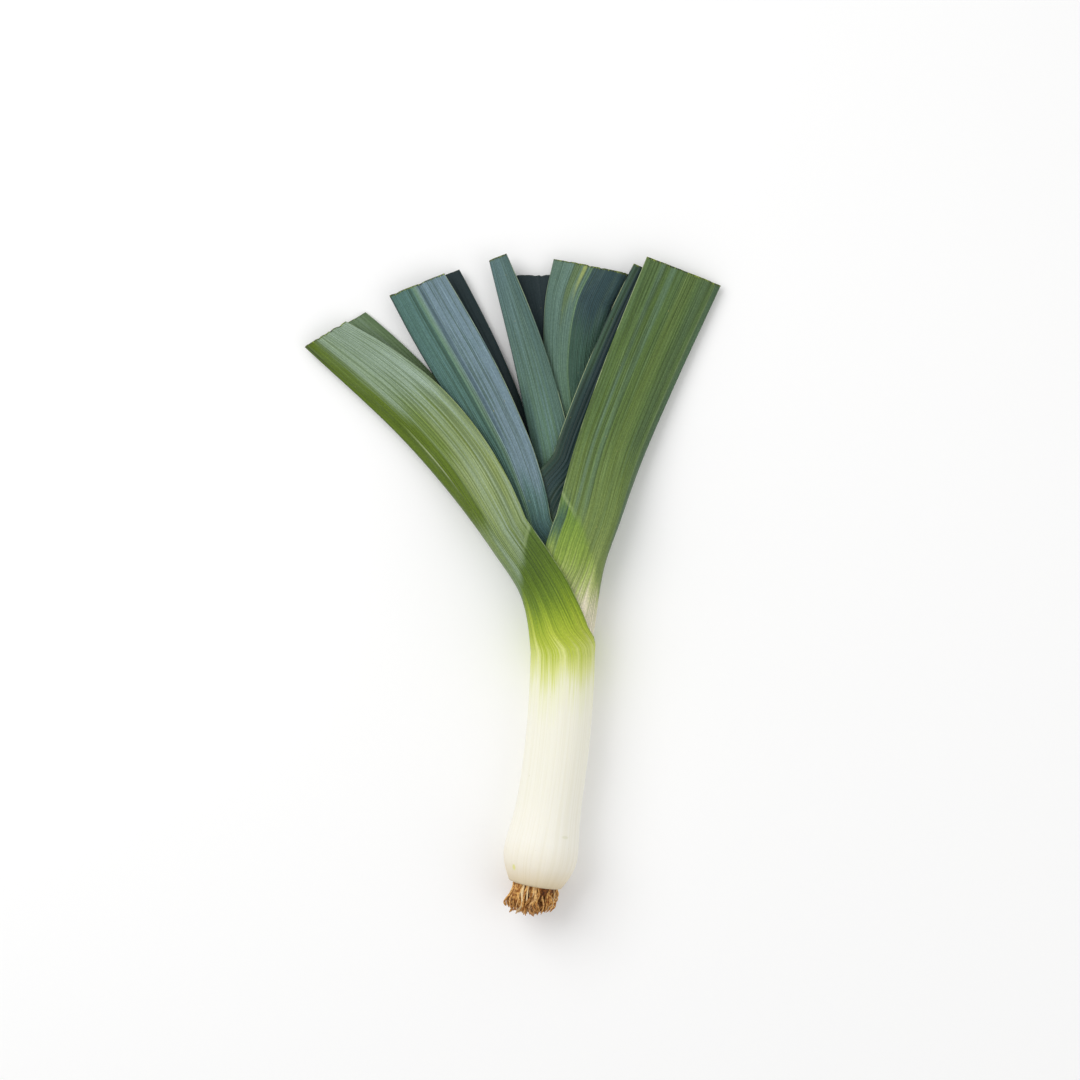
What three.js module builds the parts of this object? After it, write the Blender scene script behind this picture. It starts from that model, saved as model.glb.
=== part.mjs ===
// A trimmed leek, lying on its side as it does on a kitchen table. Millimetres, +Z up.
// +Y runs from the roots to the cut leaf tips and the leaves fan out in the XY plane.
//
// A leek has no stem to speak of: its shaft is a nest of leaf sheaths, one tube inside the next, all rooted
// on a small basal plate. Each leaf is one piece: a tube (the sheath) that opens at its mouth, and a blade
// folded lengthwise along its keel. Leaves are numbered from the outside in, and take turns left and right.
import * as THREE from "three";

// Shaft. The radius profile is a slim column with a soft bulb above the basal plate.
const SHAFT_RADIUS = 18.6;
const BULB_SWELL = 2.9;
const BULB_AT = 17;
const BULB_SPREAD = 19;
const BASE_TAPER = 0.226;
const BASE_TAPER_LENGTH = 18;
const COLLAR = 134; // distance up the shaft at which the outermost sheath opens
const SHAFT_STEPS = [0, 4, 9, 18, 30, 46, 70, 96, 118, COLLAR];

// Nest. Each sheath's radius is a share of the shaft's, and each layer flattens as the neck fans out.
const NEST_STEP = 0.118;
const SHEATH_WALL = 0.072;
const NECK_LENGTH = 70;
const NECK_STEP = 4.8; // how far each flattened sheath stops short of the keel that faces it
const OUTER_SLACK = 1.4; // how much further the outermost leaf reaches round that keel
const NECK_LAYER = 2.25; // half height that each layer adds where the neck is flattest
const NECK_FULLNESS = 0.11; // how much fuller each layer's outline is than the one inside it
const FULLNESS_FADE = 1.4; // how soon along the blade that fullness is gone
const LAYERS = 8;
const FAN_FALL = 0.055; // slope of the whole fan down to the table
const BLADE_WALL = [1.1, 0.9]; // at the neck and at the tip
const KEEL_WALL = 1.8; // the midrib's thickness, as a multiple of the blade's
const CORE_WALL = 0.26; // the heart leaf's wall, as a share of the shaft's radius
const CREASE = 0.3; // how far a blade's section is a straight V and not round
const CREASE_GROWTH = 3; // how soon along the blade it gets there
const MIN_FOLD = 0.15; // least half gap between the two halves of a folded blade

// Faceting.
const HALF_FACETS = 7; // an odd number leaves one facet flat on the table
const BLADE_STEPS = 13;
const STEP_GROWTH = 1.35; // the steps are closer together at the neck
const KEEL_SAMPLES = 400;
const KEEL_LEAD = 16; // how far below the collar a keel's curve starts to take its direction
const FACET_SAG = Math.cos(Math.PI / (2 * HALF_FACETS));

// Basal plate and roots.
const PLATE_RADIUS = 14.4;
const PLATE_DEPTH = 3.6;
const PLATE_SIDES = 18;
const GAP = 0.3;
const ROOTS = 37;
const ROOT_RADIUS = 1.0;
const ROOT_LENGTH = 9.5;
const ROOT_RING = 12.4;
const ROOT_SPLAY = 0.3;
const ROOT_UNEVEN = [2.5, 1.2]; // how much the lengths vary across the tuft, and from root to root
const ROOT_CURL = 1.6;
const ROOT_BOW = 0.8;
const ROOT_SWAY = 0.6;
const ROOT_SIDES = 6;
const ROOT_STEPS = 6;
const GOLDEN_ANGLE = Math.PI * (3 - Math.sqrt(5));

const SKIN = { pale: "#ecebd3", green: "#5c7d3f", deep: "#3c5f58", dark: "#24403f", tan: "#b98b52" };

// The leaves, from the outermost to the heart. keel is the line of the fold from the neck to the tip.
// mouth is how far past the collar the sheath opens, and rim how long its slanted mouth is. width and lift
// are taken at the neck, half way and at the tip: width across the fold from the keel to the edge, lift away
// from the fold's middle. front is the half that faces up, or left. neck is the half width of a leaf that is
// folded the other way, at the neck. slant leans the cut at the tip, away from the keel or towards the front.
const LEAVES = [
  {
    name: "leaf_1_outer_left", opens: "right", skin: "green", mouth: 0, rim: 44, slant: -0.3,
    keel: [[-8, 166, 18.3], [-24, 192, 16.9], [-50, 227, 12.4], [-81, 262, 7.6], [-135, 312.5, 5.2]],
    front: { width: [26.5, 37, 27], lift: [10, 8] },
    rear: { width: [28, 38, 39], lift: [6, 3.3] },
  },
  {
    name: "leaf_2_outer_right", opens: "left", skin: "green", mouth: 12, rim: 38, slant: -0.08,
    keel: [
      [35, 152, 18.4], [40, 183.5, 17.1], [49, 209.5, 15.6],
      [61.5, 244, 12], [80.5, 288, 7.5], [108.5, 348.5, 4.6],
    ],
    front: { width: [36, 42, 46], lift: [12.4, 9.5] },
    rear: { width: [33, 40, 42], lift: [7, 3.3] },
  },
  {
    name: "leaf_3_left", opens: "right", skin: "deep", mouth: 32, rim: 44, slant: -0.12,
    keel: [
      [0, 166, 18.3], [-4.6, 189, 16.7], [-11.6, 212, 15.5], [-25, 238.5, 14.1], [-40.6, 264.5, 12.5],
      [-70, 314, 10.5], [-85, 342, 10],
    ],
    front: { width: [18, 33, 34], lift: [8.2, 6] },
    rear: { width: [18, 38, 43], lift: [7, 5] },
  },
  {
    name: "leaf_4_right", opens: "left", skin: "dark", mouth: 44, rim: 60, slant: -0.01,
    keel: [
      [28.6, 166, 18.3], [32.5, 186, 17], [39.3, 209.5, 15.5],
      [52.5, 240, 13.1], [72.5, 285, 9.6], [97.5, 344.5, 7.4],
    ],
    front: { width: [38, 45, 43], lift: [7.6, 3.2] },
    rear: { width: [28, 36, 36], lift: [5.5, 3.5] },
  },
  {
    name: "leaf_5_left", opens: "right", skin: "deep", mouth: 52, rim: 46, slant: 0.15,
    keel: [
      [5.2, 177.5, 17.5], [4, 218, 15.3], [-0.6, 247, 14.2],
      [-6.4, 276, 12.9], [-12.2, 303, 12], [-26.7, 362.5, 11],
    ],
    front: { width: [22, 21, 10.4], lift: [3.2, 2.6] },
    rear: { width: [14, 7, 7], lift: [2.5, 2.5] },
  },
  {
    name: "leaf_6_ridged", opens: "down", skin: "deep", mouth: 50, rim: 40, slant: -0.25,
    keel: [
      [15.6, 166, 24.4], [18, 189, 21], [21.5, 224, 18.5],
      [23, 258.7, 15.9], [19, 300, 13.4],
      [24, 337, 12.6], [34.2, 359, 12.2],
    ],
    neck: [8, 8.4],
    front: { width: [4, 4.5, 5], lift: [11, 23] },
    rear: { width: [2.6, 5.2, 5.5], lift: [18, 21] },
  },
  {
    name: "leaf_7_heart", opens: "up", skin: "dark", mouth: 66, rim: 40, slant: 0.15,
    keel: [
      [16.3, 166, 14.2], [19, 189, 14.2], [20.5, 212, 13.1],
      [19.5, 240, 10.3], [11.5, 282, 6.6], [4, 322.5, 5], [-1.2, 354.4, 4.6],
    ],
    neck: [5, 5.4],
    front: { width: [2, 2.2, 3], lift: [6, 14.5] },
    rear: { width: [2, 2.2, 3], lift: [11, 15.7] },
  },
];

// Directions across a folded leaf: open runs from the keel to the mouth, front to the front half.
const UP = new THREE.Vector3(0, 0, 1);
const leftOf = (along) => new THREE.Vector3().crossVectors(UP, along).normalize();
const OPENINGS = {
  right: (along) => ({ open: leftOf(along).negate(), front: UP.clone() }),
  left: (along) => ({ open: leftOf(along), front: UP.clone() }),
  down: (along) => ({ open: UP.clone().negate(), front: leftOf(along) }),
  up: (along) => ({ open: UP.clone(), front: leftOf(along) }),
};

const shaftAxis = new THREE.CubicBezierCurve3(
  new THREE.Vector3(0, 0, 0),
  new THREE.Vector3(8, 45, 0),
  new THREE.Vector3(16.5, 85, 0),
  new THREE.Vector3(16, 150, 0),
);

const lerp = THREE.MathUtils.lerp;
const smooth = (t) => THREE.MathUtils.smoothstep(t, 0, 1);

// A smooth run through three values, at 0, 0.5 and 1.
function through(start, middle, end, t) {
  return start * (1 - t) * (1 - 2 * t) + middle * 4 * t * (1 - t) + end * t * (2 * t - 1);
}

function shaftRadius(distance) {
  const bulb = BULB_SWELL * Math.exp(-(((distance - BULB_AT) / BULB_SPREAD) ** 2));
  const taper = BASE_TAPER * Math.max(0, 1 - distance / BASE_TAPER_LENGTH) ** 2;
  return (SHAFT_RADIUS + bulb) * (1 - taper);
}

// The shaft's centre line in space, high enough for its lowest facet to lie on the table.
function shaftCentre(distance) {
  const share = distance / shaftAxis.getLength();
  const point = shaftAxis.getPointAt(share);
  point.z = shaftRadius(Math.max(distance, BULB_AT)) * FACET_SAG;
  return { point, along: shaftAxis.getTangentAt(share).setZ(0).normalize() };
}

const nestShare = (index) => 1 - NEST_STEP * index;

// The keel's line past the collar, as a curve that leaves the shaft along its side.
function keelCurve(leaf, index) {
  const side = (distance) => {
    const { point, along } = shaftCentre(distance);
    const { open } = OPENINGS[leaf.opens](along);
    return point.addScaledVector(open, -shaftRadius(distance) * nestShare(index));
  };
  const points = [side(COLLAR - KEEL_LEAD), side(COLLAR), ...leaf.keel.map((p) => new THREE.Vector3(...p))];
  const curve = new THREE.CatmullRomCurve3(points, false, "centripetal");
  const start = 1 / (points.length - 1);
  const samples = [];
  for (let i = 0; i <= KEEL_SAMPLES; i++) samples.push(curve.getPoint(lerp(start, 1, i / KEEL_SAMPLES)));
  const run = [0];
  for (let i = 1; i < samples.length; i++) run.push(run[i - 1] + samples[i].distanceTo(samples[i - 1]));
  const length = run.at(-1);
  const at = (distance) => {
    const d = THREE.MathUtils.clamp(distance, 0, length);
    const i = Math.min(run.findIndex((r) => r >= d) || 1, samples.length - 1);
    const a = Math.max(i, 1);
    return samples[a - 1].clone().lerp(samples[a], (d - run[a - 1]) / (run[a] - run[a - 1]));
  };
  return { length, at, samples };
}

const keels = LEAVES.map(keelCurve);

// The closed or open section of one leaf at one station: where its keel is, how far round it goes and how
// high it stands. reach is the full width of the nest there, and a half of the leaf stops short of it once
// the sheath has opened.
function sheathSection(leaf, index, distance) {
  const { point, along } = shaftCentre(distance);
  const { open, front } = OPENINGS[leaf.opens](along);
  const radius = shaftRadius(distance) * nestShare(index);
  const wall = (index === LEAVES.length - 1 ? CORE_WALL : SHEATH_WALL) * shaftRadius(distance);
  const half = { width: 2 * radius, height: radius };
  return {
    keel: point.addScaledVector(open, -radius), along, open, front, wall,
    reach: 2 * radius, halves: [half, half], sideways: true, closed: true,
    sharp: 0, slant: 0, fall: 0, fullness: 1,
  };
}

// How far a flattened sheath reaches from its keel: to the keel of the leaf around it, which is on the other
// side. The outermost one reaches round the keel of the next.
function neckReach(index, distance, keel, along, open) {
  const around = index === 0 ? 1 : index - 1;
  const abreast = (point) => Math.abs(point.clone().sub(keel).dot(along));
  const nearer = (best, point) => (abreast(point) < abreast(best) ? point : best);
  const facing = keels[around].samples.reduce(nearer);
  const flatten = smooth(distance / NECK_LENGTH);
  const step = lerp(NEST_STEP * shaftRadius(COLLAR), NECK_STEP, flatten) * (index === 0 ? OUTER_SLACK : -1);
  return facing.clone().sub(keel).dot(open) + step;
}

function bladeSection(leaf, index, distance) {
  const keel = keels[index].at(distance);
  const along = keels[index].at(distance + 1).sub(keels[index].at(distance - 1)).setZ(0).normalize();
  const { open, front } = OPENINGS[leaf.opens](along);
  const radius = shaftRadius(COLLAR) * nestShare(index);
  const flatten = smooth(distance / NECK_LENGTH);
  const layer = lerp(radius * FACET_SAG, NECK_LAYER * (LAYERS - 1 - index), flatten);
  const sideways = leaf.opens === "left" || leaf.opens === "right";
  const reach = sideways ? neckReach(index, distance, keel, along, open) : 2 * layer;
  const closed = distance <= leaf.mouth;
  const opening = smooth((distance - leaf.mouth) / leaf.rim);
  const run = THREE.MathUtils.clamp((distance - NECK_LENGTH) / (keels[index].length - NECK_LENGTH), 0, 1);
  const halves = [leaf.front, leaf.rear].map(({ width, lift }, side) => {
    const neck = sideways ? layer : lerp(radius, leaf.neck[side], flatten);
    return {
      width: closed ? reach : lerp(reach, through(...width, run), opening),
      height: through(neck, ...lift, run),
    };
  });
  const coreFade = smooth((2 * distance) / NECK_LENGTH);
  const core = index === LEAVES.length - 1 ? lerp(CORE_WALL / SHEATH_WALL, 1, coreFade) : 1;
  const layersInside = LEAVES.length - 1 - index;
  const wall = core * lerp(SHEATH_WALL * shaftRadius(COLLAR), lerp(...BLADE_WALL, run), flatten);
  return {
    keel, along, open, front, wall, reach, halves, sideways, closed,
    sharp: CREASE * smooth(run * CREASE_GROWTH), slant: leaf.slant * run ** 2, fall: FAN_FALL * flatten,
    fullness: 1 - NECK_FULLNESS * layersInside * flatten * (1 - smooth(run * FULLNESS_FADE)),
  };
}

// The outer and inner skin of a section, from the rear edge round the keel to the front edge.
function skins(section) {
  const outer = [];
  const inner = [];
  for (let k = -HALF_FACETS; k <= HALF_FACETS; k++) {
    const { width, height } = section.halves[k < 0 ? 1 : 0];
    const share = Math.abs(k) / HALF_FACETS;
    const semi = THREE.MathUtils.clamp(section.reach / 2, width / 2, width);
    const turn = share * Math.acos(Math.max(1 - width / semi, -1));
    const round = [semi * (1 - Math.cos(turn)), height * Math.max(Math.sin(turn), 0) ** section.fullness];
    const across = lerp(round[0], share * width, section.sharp);
    const away = lerp(round[1], height * (across / width), section.sharp);
    const normal = new THREE.Vector2(-height * Math.cos(turn), semi * Math.sin(turn)).normalize();
    const wall = section.wall * (k === 0 ? lerp(1, KEEL_WALL, section.sharp / CREASE) : 1);
    const lean = section.slant * (section.sideways ? across : Math.sign(k) * away);
    const place = (a, b) => {
      const point = section.keel.clone()
        .addScaledVector(section.open, a)
        .addScaledVector(section.front, Math.sign(k) * b)
        .addScaledVector(section.along, lean);
      point.z -= section.fall * (point.y - section.keel.y);
      return point;
    };
    outer.push(place(across, away));
    const clear = section.closed ? 0 : MIN_FOLD * share;
    inner.push(place(across - wall * normal.x, Math.max(away - wall * normal.y, clear)));
  }
  return { outer, inner, closed: section.closed };
}

// One closed mesh from a row of sections: both skins, a cap at each end and a wall along each open edge.
function loft(rows, flipped) {
  const positions = [];
  const quad = (a, b, c, d) => {
    for (const p of flipped ? [a, c, b, a, d, c] : [a, b, c, a, c, d]) positions.push(p.x, p.y, p.z);
  };
  const last = rows[0].outer.length - 1;
  for (let j = 0; j + 1 < rows.length; j++) {
    const [low, high] = [rows[j], rows[j + 1]];
    for (let k = 0; k < last; k++) {
      quad(low.outer[k], low.outer[k + 1], high.outer[k + 1], high.outer[k]);
      quad(low.inner[k], high.inner[k], high.inner[k + 1], low.inner[k + 1]);
    }
    if (high.closed) continue;
    quad(low.outer[0], high.outer[0], high.inner[0], low.inner[0]);
    quad(low.outer[last], low.inner[last], high.inner[last], high.outer[last]);
  }
  const [foot, tip] = [rows[0], rows.at(-1)];
  for (let k = 0; k < last; k++) {
    quad(foot.outer[k], foot.inner[k], foot.inner[k + 1], foot.outer[k + 1]);
    quad(tip.outer[k], tip.outer[k + 1], tip.inner[k + 1], tip.inner[k]);
  }
  const geometry = new THREE.BufferGeometry();
  geometry.setAttribute("position", new THREE.Float32BufferAttribute(positions, 3));
  geometry.computeVertexNormals();
  return geometry;
}

function skinMaterial(colour, roughness) {
  return new THREE.MeshStandardMaterial({ color: colour, roughness, metalness: 0 });
}

function makeLeaf(leaf, index) {
  const sections = SHAFT_STEPS.map((distance) => sheathSection(leaf, index, distance));
  for (let j = 1; j <= BLADE_STEPS; j++) {
    const distance = keels[index].length * (j / BLADE_STEPS) ** STEP_GROWTH;
    sections.push(bladeSection(leaf, index, distance));
  }
  const flipped = leaf.opens === "left" || leaf.opens === "down";
  const mesh = new THREE.Mesh(loft(sections.map(skins), flipped), skinMaterial(SKIN[leaf.skin], 0.5));
  mesh.name = leaf.name;
  return mesh;
}

// A frame at the foot of the shaft: +Y up the shaft, origin where the sheaths meet the basal plate.
function footGroup() {
  const { point, along } = shaftCentre(0);
  const group = new THREE.Group();
  group.position.copy(point);
  group.quaternion.setFromUnitVectors(new THREE.Vector3(0, 1, 0), along);
  return group;
}

function makePlate() {
  const outline = [
    [0, -PLATE_DEPTH],
    [PLATE_RADIUS * 0.9, -PLATE_DEPTH],
    [PLATE_RADIUS, -PLATE_DEPTH * 0.5],
    [PLATE_RADIUS, -GAP],
    [0, -GAP],
  ].map(([x, y]) => new THREE.Vector2(x, y));
  const mesh = new THREE.Mesh(new THREE.LatheGeometry(outline, PLATE_SIDES), skinMaterial(SKIN.tan, 0.8));
  mesh.name = "basal_plate";
  return mesh;
}

// One root of the trimmed tuft, with its crown on the plate's underside. Neighbours bend alike, so they lie
// close without touching.
function makeRoot(number) {
  const ring = ROOT_RING * Math.sqrt((number + 0.5) / ROOTS);
  const angle = number * GOLDEN_ANGLE;
  const [x, z] = [ring * Math.cos(angle), ring * Math.sin(angle)];
  const uneven = ROOT_UNEVEN[0] * Math.sin(0.35 * x + 1) + ROOT_UNEVEN[1] * Math.sin(2.4 * number);
  const length = ROOT_LENGTH + uneven;
  const points = [0, 0.35, 0.7, 1].map((t) => {
    const drift = 1 + ROOT_SPLAY * t;
    const curl = ROOT_CURL * t * t * Math.sin(0.25 * x + 0.9) - ROOT_BOW * Math.sin(Math.PI * t);
    const sway = ROOT_SWAY * Math.sin(3 * t);
    return new THREE.Vector3(x * drift + curl, -PLATE_DEPTH - 2 * GAP - length * t, z * drift + sway);
  });
  const section = Array.from({ length: ROOT_SIDES }, (_, i) => {
    const a = (i / ROOT_SIDES) * 2 * Math.PI;
    return new THREE.Vector2(ROOT_RADIUS * Math.cos(a), ROOT_RADIUS * Math.sin(a));
  });
  const geometry = new THREE.ExtrudeGeometry(new THREE.Shape(section), {
    steps: ROOT_STEPS,
    extrudePath: new THREE.CatmullRomCurve3(points),
  });
  const mesh = new THREE.Mesh(geometry, skinMaterial(SKIN.tan, 0.85));
  mesh.name = `root_${String(number + 1).padStart(2, "0")}`;
  return mesh;
}

// Assembly. The origin is on the table, under the middle of the whole leek.
const leek = new THREE.Group();
leek.add(...LEAVES.map(makeLeaf));
const foot = footGroup();
foot.add(makePlate(), ...Array.from({ length: ROOTS }, (_, i) => makeRoot(i)));
leek.add(foot);
const box = new THREE.Box3().setFromObject(leek, true);
const middle = box.getCenter(new THREE.Vector3());
leek.position.set(-middle.x, -middle.y, -box.min.z);

export default leek;
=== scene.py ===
"""A trimmed leek lying on a pale table: nested sheaths, folded blades, a basal plate and a tuft of roots.

The leaves follow the same rules as the CAD leaves, at a finer step, and take their place from the CAD boxes.
Lengths are millimetres until a mesh is made, and every mesh is in metres.
"""

import math

import bpy
import numpy as np
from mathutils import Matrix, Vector


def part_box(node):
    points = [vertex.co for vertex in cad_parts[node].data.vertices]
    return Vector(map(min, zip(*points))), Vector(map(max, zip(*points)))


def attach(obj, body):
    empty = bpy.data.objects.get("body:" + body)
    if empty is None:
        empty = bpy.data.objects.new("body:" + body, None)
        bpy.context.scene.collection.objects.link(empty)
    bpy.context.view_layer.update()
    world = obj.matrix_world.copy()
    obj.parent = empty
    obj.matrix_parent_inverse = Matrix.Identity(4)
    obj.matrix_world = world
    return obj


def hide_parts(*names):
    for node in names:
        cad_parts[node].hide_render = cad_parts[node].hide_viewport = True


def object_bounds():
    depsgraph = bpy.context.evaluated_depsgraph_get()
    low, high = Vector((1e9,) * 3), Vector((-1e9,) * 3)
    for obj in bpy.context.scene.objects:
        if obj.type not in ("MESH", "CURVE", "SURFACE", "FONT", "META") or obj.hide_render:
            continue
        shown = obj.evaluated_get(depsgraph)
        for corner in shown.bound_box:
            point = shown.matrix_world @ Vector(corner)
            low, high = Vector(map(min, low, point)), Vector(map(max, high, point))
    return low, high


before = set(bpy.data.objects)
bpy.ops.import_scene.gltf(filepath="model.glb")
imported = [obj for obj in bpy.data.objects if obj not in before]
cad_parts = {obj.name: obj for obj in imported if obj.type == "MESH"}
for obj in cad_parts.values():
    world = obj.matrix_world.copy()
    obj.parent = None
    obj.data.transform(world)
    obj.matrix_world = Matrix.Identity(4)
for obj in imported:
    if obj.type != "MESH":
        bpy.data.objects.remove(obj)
CAD_LOW, CAD_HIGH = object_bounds()
MM = 0.001

# Shaft and nest, as in the CAD source.
SHAFT_RADIUS, BULB_SWELL, BULB_AT, BULB_SPREAD = 18.6, 2.9, 17, 19
BASE_TAPER, BASE_TAPER_LENGTH = 0.226, 18
COLLAR = 134
SHAFT_BEND = ((0, 0, 0), (8, 45, 0), (16.5, 85, 0), (16, 150, 0))
NEST_STEP, SHEATH_WALL = 0.118, 0.072
NECK_LENGTH, NECK_STEP, OUTER_SLACK, SLACK_LENGTH = 70, 4.8, 1.4, 24
NECK_LAYER, NECK_FULLNESS, LAYERS = 2.25, 0.11, 8
FAN_FALL = 0.055
BLADE_WALL = (1.1, 0.9)
KEEL_WALL = 1.8
MIN_FOLD = 0.15
# The CAD shaft lies on a flat facet, so its centre is this share of its radius above the table.
HALF_FACETS = 7
FACET_SAG = math.cos(math.pi / (2 * HALF_FACETS))
SHARP_KEEL, SHARPENING, FILLING = 0.3, 3, 1.4
KEEL_LEAD = 16
# The outermost mouth opens faster than the others, but eases into it over this share of its rim.
QUICK_OPENING = 0.3

# Fineness of the visual leaves: faces across each half, and rows along the foot, shaft, blade and cut end.
HALF = 32
FOOT, FOOT_ROWS, SHAFT_ROWS = 20, 16, 41
BLADE_ROWS, CUT_ZONE, CUT_ROWS = 110, 6, 12
PATH_STEPS = 400

# Wear and relief of the visual leaves. veins are counted from the keel to the edge of a half.
VEINS = 40
TIP_RAGGED, TIP_WAVE, TIP_WAVES, TIP_NICK, TIP_NICKS, TORN_ZONE = 0.7, 0.12, 5, 0.8, 90, 24
KEEL_RIB, RIB_WIDTH, KEEL_WIDTH = 0.35, 0.9, 2.2
RIPPLE, RIPPLE_LENGTH, RIPPLE_STEP, FREE_LENGTH = 0.3, 11, 2.1, 60
WIDEST_HALF, CLEAR_OF_EDGE, FAR_FROM_TIP = 60, 60, 400

# One row for each leaf, from the outside in. opens is the side that the mouth faces, mouth is where it
# starts past the collar, and rim is the length over which it opens. slant skews the cut end. ligule is where
# the blade starts, past the collar, at the keel and at the edges. keel is the path of the fold. halves are
# the front and rear: widths and lifts as in the CAD source.
LEAVES = [
    dict(
        name="leaf_1_outer_left", opens="right", mouth=0, rim=44, slant=-0.3, ligule=(28, 66),
        keel=[(-8, 166, 18.3), (-24, 192, 16.9), (-50, 227, 12.4), (-81, 262, 7.6), (-135, 312.5, 5.2)],
        halves=[((26.5, 37, 27), (10, 8)), ((28, 38, 39), (6, 3.3))],
    ),
    dict(
        name="leaf_2_outer_right", opens="left", mouth=12, rim=38, slant=-0.08, ligule=(30, 84),
        keel=[(35, 152, 18.4), (40, 183.5, 17.1), (49, 209.5, 15.6), (61.5, 244, 12), (80.5, 288, 7.5),
              (108.5, 348.5, 4.6)],
        halves=[((36, 42, 46), (12.4, 9.5)), ((33, 40, 42), (7, 3.3))],
    ),
    dict(
        name="leaf_3_left", opens="right", mouth=32, rim=44, slant=-0.12, ligule=(40, 70),
        keel=[(0, 166, 18.3), (-4.6, 189, 16.7), (-11.6, 212, 15.5), (-25, 238.5, 14.1), (-40.6, 264.5, 12.5),
              (-70, 314, 10.5), (-85, 342, 10)],
        halves=[((18, 33, 34), (8.2, 6)), ((18, 38, 43), (7, 5))],
    ),
    dict(
        name="leaf_4_right", opens="left", mouth=44, rim=60, slant=-0.01, ligule=(50, 80),
        keel=[(28.6, 166, 18.3), (32.5, 186, 17), (39.3, 209.5, 15.5), (52.5, 240, 13.1), (72.5, 285, 9.6),
              (97.5, 344.5, 7.4)],
        halves=[((38, 45, 43), (7.6, 3.2)), ((28, 36, 36), (5.5, 3.5))],
    ),
    dict(
        name="leaf_5_left", opens="right", mouth=52, rim=46, slant=0.15, ligule=(60, 84),
        keel=[(5.2, 177.5, 17.5), (4, 218, 15.3), (-0.6, 247, 14.2), (-6.4, 276, 12.9), (-12.2, 303, 12),
              (-26.7, 362.5, 11)],
        halves=[((22, 21, 10.4), (3.2, 2.6)), ((14, 7, 7), (2.5, 2.5))],
    ),
    dict(
        name="leaf_6_ridged", opens="down", mouth=50, rim=40, slant=-0.25, ligule=(60, 80), neck=(8, 8.4),
        keel=[(15.6, 166, 24.4), (18, 189, 21), (21.5, 224, 18.5), (23, 258.7, 15.9), (19, 300, 13.4),
              (24, 337, 12.6), (34.2, 359, 12.2)],
        halves=[((4, 4.5, 5), (11, 23)), ((2.6, 5.2, 5.5), (18, 21))],
    ),
    dict(
        name="leaf_7_heart", opens="up", mouth=66, rim=40, slant=0.15, ligule=(70, 90), neck=(5, 5.4),
        keel=[(16.3, 166, 14.2), (19, 189, 14.2), (20.5, 212, 13.1), (19.5, 240, 10.3), (11.5, 282, 6.6),
              (4, 322.5, 5), (-1.2, 354.4, 4.6)],
        halves=[((2, 2.2, 3), (6, 14.5)), ((2, 2.2, 3), (11, 15.7))],
    ),
]

# Colours are red, green and blue from 0 to 255. Each ramp runs along the leaf: (mm from the root, colour).
SHEATH = [(0, (216, 198, 164)), (5, (229, 216, 190)), (12, (238, 231, 214)), (26, (243, 240, 228)),
          (96, (242, 240, 224)), (114, (237, 237, 206)), (127, (216, 221, 140)), (140, (176, 190, 62)),
          (153, (140, 162, 38)), (165, (98, 124, 26)), (180, (76, 100, 22)), (206, (78, 104, 40))]
SHEATH_PALE = [(0, (232, 222, 198)), (90, (242, 240, 224)), (150, (226, 217, 198)), (160, (220, 214, 186)),
               (170, (172, 182, 118)), (186, (134, 158, 66)), (206, (110, 140, 52)), (230, (96, 126, 60))]
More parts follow.
